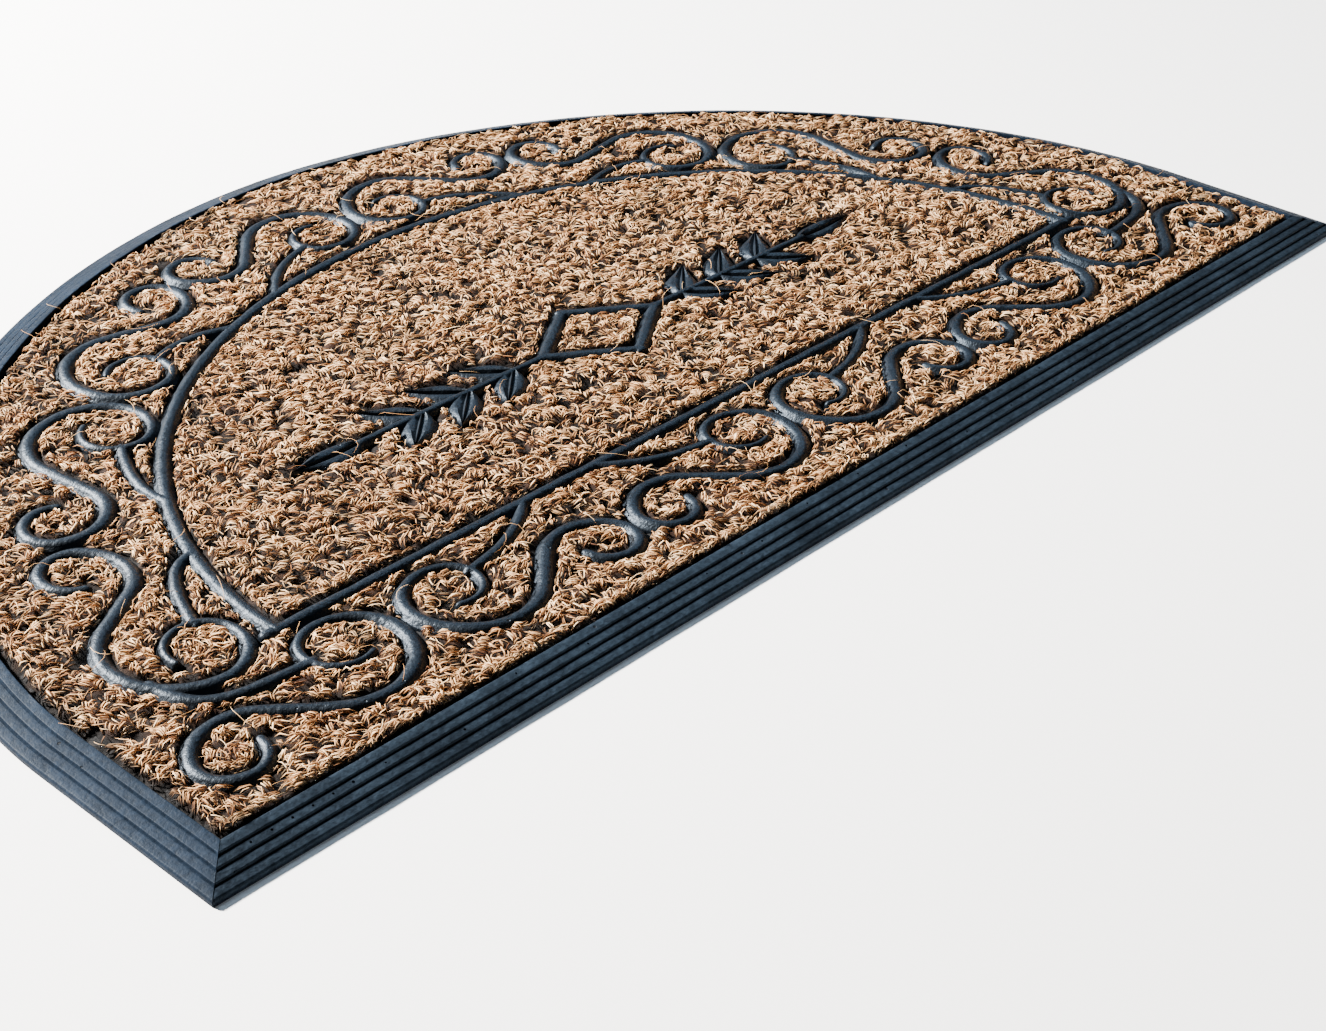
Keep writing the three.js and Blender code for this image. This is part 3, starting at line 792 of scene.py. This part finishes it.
def tufts():
    """Centres, leaning directions, sizes and heights of the tufts: uneven rows, and a line beside every edge."""
    rows = np.arange(0, DEPTH + 8, TUFT_PITCH * ROW_SHARE)
    grid = []
    for k, y in enumerate(rows):
        x = np.arange(-WIDTH / 2, WIDTH / 2, TUFT_PITCH) + (k % 2) * TUFT_PITCH / 2
        grid.append(np.stack([x, np.full(len(x), y)], 1))
    grid = np.concatenate(grid)
    grid += rng.normal(0, TUFT_PITCH * TUFT_SHIFT, grid.shape)
    inner = sample(inset_at, grid) - WALL - recess_at(grid[:, 1])
    grid = grid[(inner > EDGE_REACH + 1.6) & (sample(strokes, grid) > EDGE_REACH + 1.5)]
    drift = sample(noise_raster_sum(*TUFT_DRIFT["layers"]), grid)
    grid_lean = (drift - 0.5) * TUFT_DRIFT["turn"] + rng.normal(0, 0.7, len(grid))
    lines = [beside(points, widths / 2 + EDGE_REACH) for points, widths, _ in frame_strokes + ornament_strokes]
    for inset in (WALL + FRONT_RECESS, WALL + ARCH_RECESS):
        rim = half_round(inset)
        lines.append(beside(np.concatenate([rim, rim[:1]]), np.full(len(rim) + 1, 1.5)))
    edge_spots, edge_lean = (np.concatenate(values) for values in zip(*lines))
    edge_spots = edge_spots + rng.normal(0, 0.5, edge_spots.shape)
    inner = sample(inset_at, edge_spots) - WALL - recess_at(edge_spots[:, 1])
    keep = (inner > 0.8) & (inner < INSET_REACH) & (sample(strokes, edge_spots) > EDGE_REACH - 1.0)
    edge_lean = edge_lean[keep] + rng.choice([0.0, math.pi], keep.sum()) + rng.normal(0, 0.5, keep.sum())
    spots, lean = np.concatenate([grid, edge_spots[keep]]), np.concatenate([grid_lean, edge_lean])
    count = len(spots)
    return {
        "spot": spots, "lean": lean,
        "long": rng.uniform(*TUFT_LONG, count), "wide": rng.uniform(*TUFT_WIDE, count),
        "top": rng.uniform(0.0, 1.0, count), "tone": rng.normal(0.0, 0.08, count),
        "curl": rng.choice([-1.0, 1.0], count) * rng.uniform(*TUFT_CURL, count),
    }


def shoulder(distance, width):
    """A rise from 0 to 1 over a width, steep where it begins."""
    return (distance / width).clip(0, 1) ** 0.7


def coir_height(t):
    """Height of the pile's body and the tuft that owns each place: uneven domes, narrow pits, channels at strokes."""
    raster = np.full(strokes.shape, TUFT_LOW)
    owner = np.zeros(strokes.shape, int)
    r = int(TUFT_REACH / RASTER)
    for n, (x, y) in enumerate(t["spot"]):
        i, j = int((y - GRID_Y[0]) / RASTER), int((x - GRID_X[0]) / RASTER)
        dy, dx = GRID_Y[i - r:i + r + 1, None] - y, GRID_X[None, j - r:j + r + 1] - x
        c, s = math.cos(t["lean"][n]), math.sin(t["lean"][n])
        u, v = (dx * c + dy * s) / t["long"][n], (dy * c - dx * s) / t["wide"][n]
        dome = np.sqrt((1 - u * u - v * v).clip(0))
        high = CROWN_LOW + (CROWN_HIGH - CROWN_LOW) * t["top"][n] - CROWN_COVER
        height = TUFT_LOW + (high - TUFT_LOW) * dome
        window = raster[i - r:i + r + 1, j - r:j + r + 1]
        taller = height > window
        window[taller] = height[taller]
        owner[i - r:i + r + 1, j - r:j + r + 1][taller] = n
    raster += ROUGH - 0.5 + (HUMMOCKS - 0.5) * HUMMOCK_HEIGHT
    near_stroke = shoulder(strokes - 0.3 - (ROUGH - 0.5) * 1.2, 1.1)
    start = WALL + recess_at(GRID_Y)[:, None] - 0.6
    near_rim = shoulder(inset_at - start + (PATCHES - 0.5) * 2.4, 1.5)
    for floor, share in ((GAP_FLOOR, near_stroke), (RIM_FLOOR, near_rim)):
        raster = np.minimum(raster, floor + (CROWN_HIGH - GAP_FLOOR) * share)
    return raster, owner


def coir_base(height, owner):
    """The pile's body: a grid over the field, its rim moved onto the wall's line, closed below by one flat face."""
    xs = np.arange(-WIDTH / 2 + WALL - BASE_STEP, WIDTH / 2 - WALL + 2 * BASE_STEP, BASE_STEP)
    ys = np.arange(WALL - BASE_STEP, DEPTH - WALL + 2 * BASE_STEP, BASE_STEP)
    gx, gy = np.meshgrid(xs, ys)
    flat = np.stack([gx, gy], -1)
    inset = sample(inset_at, flat)
    inside = inset > WALL - 0.2 * BASE_STEP
    cells = inside[:-1, :-1] & inside[1:, :-1] & inside[:-1, 1:] & inside[1:, 1:]
    used = np.zeros(inside.shape, bool)
    for a, b in ((0, 0), (1, 0), (0, 1), (1, 1)):
        used[a:used.shape[0] - 1 + a, b:used.shape[1] - 1 + b] |= cells
    index = np.cumsum(used.ravel()).reshape(used.shape) - 1
    i, j = np.nonzero(cells)
    a, b, c, d = index[i, j], index[i, j + 1], index[i + 1, j + 1], index[i + 1, j]
    swap = (i + j) % 2 == 0
    top = np.where(swap[:, None], np.stack([a, b, c, a, c, d], 1), np.stack([a, b, d, b, c, d], 1)).reshape(-1, 3)
    xy = flat[used]
    step = 0.4
    slope = np.stack([
        sample(inset_at, xy + [step, 0]) - sample(inset_at, xy - [step, 0]),
        sample(inset_at, xy + [0, step]) - sample(inset_at, xy - [0, step]),
    ], 1)
    slope /= np.linalg.norm(slope, axis=1, keepdims=True) + 1e-9
    short = WALL + 0.15 - sample(inset_at, xy)
    rim = np.abs(short) < BASE_STEP * 0.8
    xy[rim] += slope[rim] * short[rim, None]
    z = sample(height, xy) + rng.normal(0, 0.12, len(xy))
    directed = np.concatenate([top[:, [0, 1]], top[:, [1, 2]], top[:, [2, 0]]])
    _, first, uses = np.unique(np.sort(directed, axis=1), axis=0, return_index=True, return_counts=True)
    border = directed[first[uses == 1]]
    rim_points = np.unique(border)
    low = np.full(len(xy) + 1, -1)
    low[rim_points] = len(xy) + np.arange(len(rim_points))
    below = np.column_stack([xy[rim_points], np.full(len(rim_points), COIR_BOTTOM)])
    p, q = border[:, 0], border[:, 1]
    walls = np.concatenate([np.stack([q, p, low[p]], 1), np.stack([q, low[p], low[q]], 1)])
    middle = len(xy) + len(rim_points)
    floor = np.stack([low[q], low[p], np.full(len(p), middle)], 1)
    points = np.concatenate([np.column_stack([xy, z]), below, [[0, DEPTH * 0.4, COIR_BOTTOM]]])
    triangles = np.concatenate([top, walls, floor])
    plan = points[:, :2]
    # Darker low down: painted shade in the pits between tufts
    lift = ((points[:, 2] - 6.4) / 2.0).clip(0, 1)
    row = ((plan[:, 1] - GRID_Y[0]) / RASTER).round().astype(int)
    column = ((plan[:, 0] - GRID_X[0]) / RASTER).round().astype(int)
    n = owner[row, column]
    away = plan - tuft["spot"][n]
    c, s = np.cos(tuft["lean"][n]), np.sin(tuft["lean"][n])
    flow = np.stack([away[:, 0] * c + away[:, 1] * s, away[:, 1] * c - away[:, 0] * s, n * 0.37], 1)
    # Body colour: painted shade, a low tone and a capped lift under the fibres, with painted pit shade low down
    return mesh_object("coir_pile", points, triangles, COIR_BODY, {
        "tone": (SHADED_BODY_TONE + tuft["tone"][n]).clip(0, 1), "lift": lift * SHADED_BODY_LIFT, "dust_and_shade": dust_and_shade_at(plan, points[:, 2]),
        "flow": flow})


def dust_and_shade_at(plan, z):
    """How far the coir is blackened: painted shade low down in the recess at the edge, where rubber also shows, and in
    the channels beside strokes; rubber dust in uneven patches near the edge.
    """
    edge = sample(inset_at, plan) - WALL
    recess = recess_at(plan[..., 1])
    patch = sample(PATCHES, plan)
    low_down = ((6.8 - z) / 1.6).clip(0, 1)
    # Low down in the recess at the edge: painted shade, partly rubber showing
    deep = np.maximum(low_down * ((recess + 4 - edge) / 2).clip(0, 1), (recess + 0.6 - edge).clip(0, 1))
    dust = (1.6 - edge / (2.2 * recess)).clip(0, 1) * ((patch - 0.42) * 3.0).clip(0, 1)
    # Low down beside strokes: painted shade in the channels
    channel = ((7.2 - z) / 1.4).clip(0, 1) * (2.2 - sample(strokes, plan)).clip(0, 1)
    return (deep + dust * 0.85 + channel).clip(0, 1)


def tubes(name, paths, radii, tone, lift, dust_and_shade):
    """Closed fibres of few sides along paths (n, p, 3), pointed at both ends."""
    n, p = paths.shape[:2]
    way = np.gradient(paths, axis=1)
    way /= np.linalg.norm(way, axis=2, keepdims=True) + 1e-9
    side = np.cross(way, [0.0, 0.0, 1.0])
    side /= np.linalg.norm(side, axis=2, keepdims=True) + 1e-9
    upper = np.cross(side, way)
    corners = np.arange(FIBRE_SIDES).reshape(1, 1, FIBRE_SIDES, 1)
    roll = rng.uniform(0, 2 * math.pi, (n, 1, 1, 1)) + corners * 2 * math.pi / FIBRE_SIDES
    ring = paths[:, 1:-1, None, :] + radii[:, 1:-1, None, None] * (
        np.cos(roll) * side[:, 1:-1, None, :] + np.sin(roll) * upper[:, 1:-1, None, :])
    per = FIBRE_SIDES * (p - 2) + 2
    points = np.concatenate([paths[:, :1], ring.reshape(n, -1, 3), paths[:, -1:]], axis=1)
    faces = []
    for k in range(FIBRE_SIDES):
        m = (k + 1) % FIBRE_SIDES
        faces.append([0, 1 + m, 1 + k])
        for r in range(p - 3):
            a, b = 1 + FIBRE_SIDES * r + k, 1 + FIBRE_SIDES * r + m
            faces += [[a, b, b + FIBRE_SIDES], [a, b + FIBRE_SIDES, a + FIBRE_SIDES]]
        faces.append([1 + FIBRE_SIDES * (p - 3) + k, 1 + FIBRE_SIDES * (p - 3) + m, per - 1])
    triangles = (np.arange(n)[:, None, None] * per + np.array(faces)[None]).reshape(-1, 3)
    spread = np.concatenate([[0], np.repeat(np.arange(1, p - 1), FIBRE_SIDES), [p - 1]])
    values = {"tone": tone, "lift": lift, "dust_and_shade": dust_and_shade}
    made = mesh_object(name, points.reshape(-1, 3), triangles, COIR,
                       {key: value[:, spread].ravel() for key, value in values.items()})
    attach(made, "root")
    return made


def fibre_paths(start, angle, length, bend, steps):
    """Plan paths (n, steps, 2) that begin at start and turn evenly by bend."""
    share = np.linspace(0, 1, steps)
    heading = angle[:, None] + bend[:, None] * (share[None, :] - 0.5)
    hop = np.stack([np.cos(heading), np.sin(heading)], -1) * (length / (steps - 1))[:, None, None]
    walk = np.concatenate([np.zeros((len(start), 1, 2)), np.cumsum(hop[:, :-1], axis=1)], axis=1)
    return start[:, None, :] + walk


def wisps(t, height, each, wide, fan, wild, length_range, steps=4):
    """Strands laid side by side in each tuft: they rise from the pile, lie over it and dip again at their tips.

    A strand that would cross a stroke or the rim is made shorter and drawn to its tuft, and left out in the end.
    """
    who = np.repeat(np.arange(len(t["spot"])), each)
    n = len(who)
    aside = np.tile(np.linspace(-1, 1, each), len(t["spot"])) + rng.normal(0, 0.12, n)
    loose = rng.random(n) < wild
    lean = t["lean"][who] + aside * fan + rng.normal(0, 0.13, n) + loose * rng.normal(0, 1.2, n)
    length = rng.uniform(*length_range, n)
    bend = t["curl"][who] + rng.normal(0, 0.25, n) + loose * rng.normal(0, 0.8, n)
    axis = np.stack([np.cos(t["lean"][who]), np.sin(t["lean"][who])], 1)
    sideways = np.stack([-axis[:, 1], axis[:, 0]], 1)
    back = length * rng.uniform(0.4, 0.6, n)
    root = t["spot"][who] + sideways * (aside * wide)[:, None] - axis * back[:, None]
    for _ in range(WISP_TRIES):
        plan = fibre_paths(root, lean, length, bend, steps)
        bad = (sample(strokes, plan).min(1) < -0.35) | (sample(rim_at, plan).min(1) < 0)
        length[bad] *= 0.75
        root[bad] = t["spot"][who][bad] * 0.45 + root[bad] * 0.55
    keep = ~bad
    plan, who, aside, loose = plan[keep], who[keep], aside[keep], loose[keep]
    n = len(who)
    share = np.linspace(0, 1, steps)
    body = sample(height, plan)
    high = (body.max(1, keepdims=True) + body) / 2
    crown = t["top"][who] * 1.5 + 0.9 * (1 - aside**2).clip(0) + loose * rng.uniform(0.2, 1.0, n)
    dip = np.interp(share, WISP_PLACES, WISP_DIP)
    z = high + 0.25 + crown[:, None] + dip[None] + rng.normal(0, 0.12, (n, steps))
    z = np.minimum(z, LEDGE + 1.0 + (sample(inset_at, plan) - WALL).clip(0, 9))
    z = np.minimum(z, STROKE_TOP + 0.2 + sample(strokes, plan).clip(-0.3, 9) * 0.6)
    z = np.where(sample(strokes, plan) < 0, z.clip(WISP_OVER_STROKE), z).clip(*WISP_HEIGHTS)
    paths = np.concatenate([plan, z[..., None]], 2)
    taper = np.interp(share, WISP_PLACES, WISP_TAPER)[None]
    radii = FIBRE_RADIUS * rng.uniform(0.65, 1.3, (n, 1)) * taper
    own_tone = WISP_TONE["mean"] + t["tone"][who][:, None] + rng.normal(0, WISP_TONE["spread"], (n, 1))
    tone = (own_tone + WISP_TONE["along"] * (share - 0.4)[None]).clip(0, 1)
    # Strands darker low down: painted shade in the pits
    lift = ((z - 6.7) / 2.6).clip(0, 1)
    return paths, radii, np.broadcast_to(tone, z.shape), lift, dust_and_shade_at(plan, z) * 0.9


def curls(t, height, every, steps=5):
    """Thin springy fibres that bend over the tufts."""
    spots = t["spot"][::every]
    n = len(spots)
    length = rng.uniform(*CURL_LENGTHS, n)
    plan = fibre_paths(spots, rng.uniform(0, 2 * math.pi, n), length, rng.normal(0, 2.4, n), steps)
    ok = (sample(strokes, plan).min(1) > -0.3) & (sample(rim_at, plan).min(1) > 0)
    plan = plan[ok]
    n = len(plan)
    share = np.linspace(0, 1, steps)[None]
    z = sample(height, plan).max(1, keepdims=True) + 0.9 + rng.uniform(0, 1.3, (n, 1)) * np.sin(math.pi * share)
    z = (z + rng.normal(0, 0.25, z.shape)).clip(*CURL_HEIGHTS)
    z[:, 0] -= ROOT_DIP
    radii = rng.uniform(*CURL_RADII, (n, 1)) * np.concatenate([[0.7], np.ones(steps - 2), [0.4]])[None]
    tone = np.broadcast_to((0.72 + rng.normal(0, 0.2, (n, 1))).clip(0, 1), z.shape)
    return np.concatenate([plan, z[..., None]], 2), radii, tone, np.ones(z.shape), dust_and_shade_at(plan, z) * 0.5


def stray_fibres(height, count, steps=6):
    """Long loose fibres that lie over the pile and cross the strokes and the border."""
    spots = np.stack([rng.uniform(-WIDTH / 2, WIDTH / 2, count * 4), rng.uniform(0, DEPTH, count * 4)], 1)
    spots = spots[sample(inset_at, spots) > WALL + 1][:count]
    n = len(spots)
    length = rng.uniform(*STRAY_LENGTHS, n)
    plan = fibre_paths(spots, rng.uniform(0, ANY_TURN, n), length, rng.normal(0, 1.8, n), steps)
    ok = sample(inset_at, plan).min(1) > WALL - STRAY_OVERHANG
    plan = plan[ok]
    n = len(plan)
    body = np.where(sample(strokes, plan) < 0, STROKE_TOP, sample(height, plan))
    body = np.where(sample(inset_at, plan) < WALL + 3, np.maximum(body, LEDGE), body)
    smooth = np.maximum(body, (np.roll(body, 1, 1) + np.roll(body, -1, 1)) / 2)
    z = smooth + 0.5 + rng.uniform(0, 1.0, (n, 1)) * np.sin(np.linspace(0, math.pi, steps))[None]
    z[:, 0] -= ROOT_DIP
    z = z.clip(*STRAY_HEIGHTS)
    radii = rng.uniform(*STRAY_RADII, (n, 1)) * np.concatenate([[0.6], np.ones(steps - 2), [0.5]])[None]
    tone = np.broadcast_to((0.7 + rng.normal(0, 0.16, (n, 1))).clip(0, 1), z.shape)
    return np.concatenate([plan, z[..., None]], 2), radii, tone, np.ones(z.shape), np.zeros(z.shape)


tuft = tufts()
height, owner = coir_height(tuft)
base = coir_base(height, owner)
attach(base, "root")
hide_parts("coir_field")
for layer, parts, fibres in (
    ("coir_strands", 4, wisps(tuft, height, each=9, wide=1.9, fan=0.2, wild=0.22, length_range=(5.5, 9.5))),
    ("coir_curls", 1, curls(tuft, height, every=2)),
):
    order = np.argsort(fibres[0][:, 0, 0])
    for k, chosen in enumerate(np.array_split(order, parts)):
        tubes(f"{layer}_{k + 1}", *(values[chosen] for values in fibres))
tubes("stray_fibres", *stray_fibres(height, STRAY_COUNT))
outline = half_round(WALL)


# Floor, light and camera

def area_light(name, place, target, size, power, colour):
    data = bpy.data.lights.new(name, "AREA")
    data.shape = "DISK"
    data.size = size
    data.energy = power
    data.color = colour
    lamp = bpy.data.objects.new(name, data)
    lamp.location = place
    lamp.rotation_euler = (Vector(target) - Vector(place)).to_track_quat("-Z", "Y").to_euler()
    bpy.context.scene.collection.objects.link(lamp)


floor_material, _, _, floor_shader = node_material("pale_floor", roughness=0.9, specular=0.1)
floor_shader.inputs["Base Color"].default_value = (0.95, 0.95, 0.95, 1)
bpy.ops.mesh.primitive_plane_add(size=12)
floor = bpy.context.object
floor.name = "floor"
floor.data.materials.append(floor_material)

area_light("key", (-0.85, 1.6, 1.1), target=(0, 0, 0), size=0.25, power=600, colour=(1.0, 0.955, 0.9))
area_light("back_sky", (0.25, 1.9, 1.3), target=(-0.2, 0, 0), size=1.1, power=22, colour=SKY_BLUE)
area_light("right_sky", (1.35, 0.75, 1.7), target=(0, -0.2, 0), size=0.9, power=18, colour=SKY_BLUE)
world = bpy.data.worlds.new("studio")
world.use_nodes = True
background = world.node_tree.nodes["Background"]
background.inputs["Color"].default_value = (0.86, 0.93, 1.0, 1)
background.inputs["Strength"].default_value = 0.13
bpy.context.scene.world = world

# Camera of the photograph: its place and its angles in the part's frame, and its focal length in pixels
CAMERA_PLACE = (-0.6925, -0.7050, 0.5027)
CAMERA_HEADING = 47.998
CAMERA_PITCH = 31.899
CAMERA_ROLL = 1.429
FOCAL_PIXELS = 2253.4
IMAGE_WIDTH = 1326
SENSOR_WIDTH = 36.0

heading, pitch = math.radians(CAMERA_HEADING), math.radians(CAMERA_PITCH)
forward = Vector((
    math.sin(heading) * math.cos(pitch), math.cos(heading) * math.cos(pitch), -math.sin(pitch),
))
level = forward.cross(Vector((0, 0, 1))).normalized()
right = Matrix.Rotation(-math.radians(CAMERA_ROLL), 3, forward) @ level
above = right.cross(forward)
camera_data = bpy.data.cameras.new("camera")
camera_data.sensor_fit = "HORIZONTAL"
camera_data.sensor_width = SENSOR_WIDTH
camera_data.lens = FOCAL_PIXELS / IMAGE_WIDTH * SENSOR_WIDTH
camera_data.clip_start = 0.01
camera = bpy.data.objects.new("camera", camera_data)
turn = Matrix((right, above, -forward)).transposed()
camera.matrix_world = Matrix.Translation(CAMERA_PLACE) @ turn.to_4x4()
bpy.context.scene.collection.objects.link(camera)
bpy.context.scene.camera = camera
